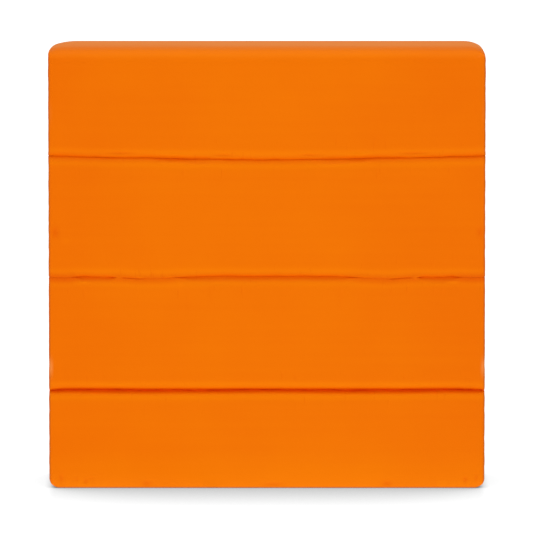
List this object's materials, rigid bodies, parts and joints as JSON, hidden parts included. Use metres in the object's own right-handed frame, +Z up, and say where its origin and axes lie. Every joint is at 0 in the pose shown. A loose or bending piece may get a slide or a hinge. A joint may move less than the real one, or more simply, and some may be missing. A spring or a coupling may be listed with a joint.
{
  "type": "modelling clay block",
  "caption": "Square block of oil-based modelling clay, made of extruded sticks pressed edge to edge with a seam between neighbours, so that each stick pulls away from the next.",
  "frame": {"origin": "middle of the bottom edge face that the block stands on, at the height of the surface under it", "axes": "+X along the sticks, to the right when seen from the front; +Y through the thickness, from the front face to the back face; +Z up across the sticks, from the bottom stick to the top stick"},
  "size_m": [0.1016, 0.0254, 0.1028],
  "materials": {
    "clay": "satin"
  },
  "bodies": {
    "bottom_stick": {"bottom_stick": "clay"},
    "lower_stick": {"lower_stick": "clay"},
    "upper_stick": {"upper_stick": "clay"},
    "top_stick": {"top_stick": "clay"}
  },
  "joints": [
    {"name": "lower_stick_pull", "type": "slide", "parent": "bottom_stick", "child": "lower_stick", "axis": [0, 0, 1], "range_m": [0, 0.03]},
    {"name": "upper_stick_pull", "type": "slide", "parent": "lower_stick", "child": "upper_stick", "axis": [0, 0, 1], "range_m": [0, 0.03]},
    {"name": "top_stick_pull", "type": "slide", "parent": "upper_stick", "child": "top_stick", "axis": [0, 0, 1], "range_m": [0, 0.03]}
  ]
}
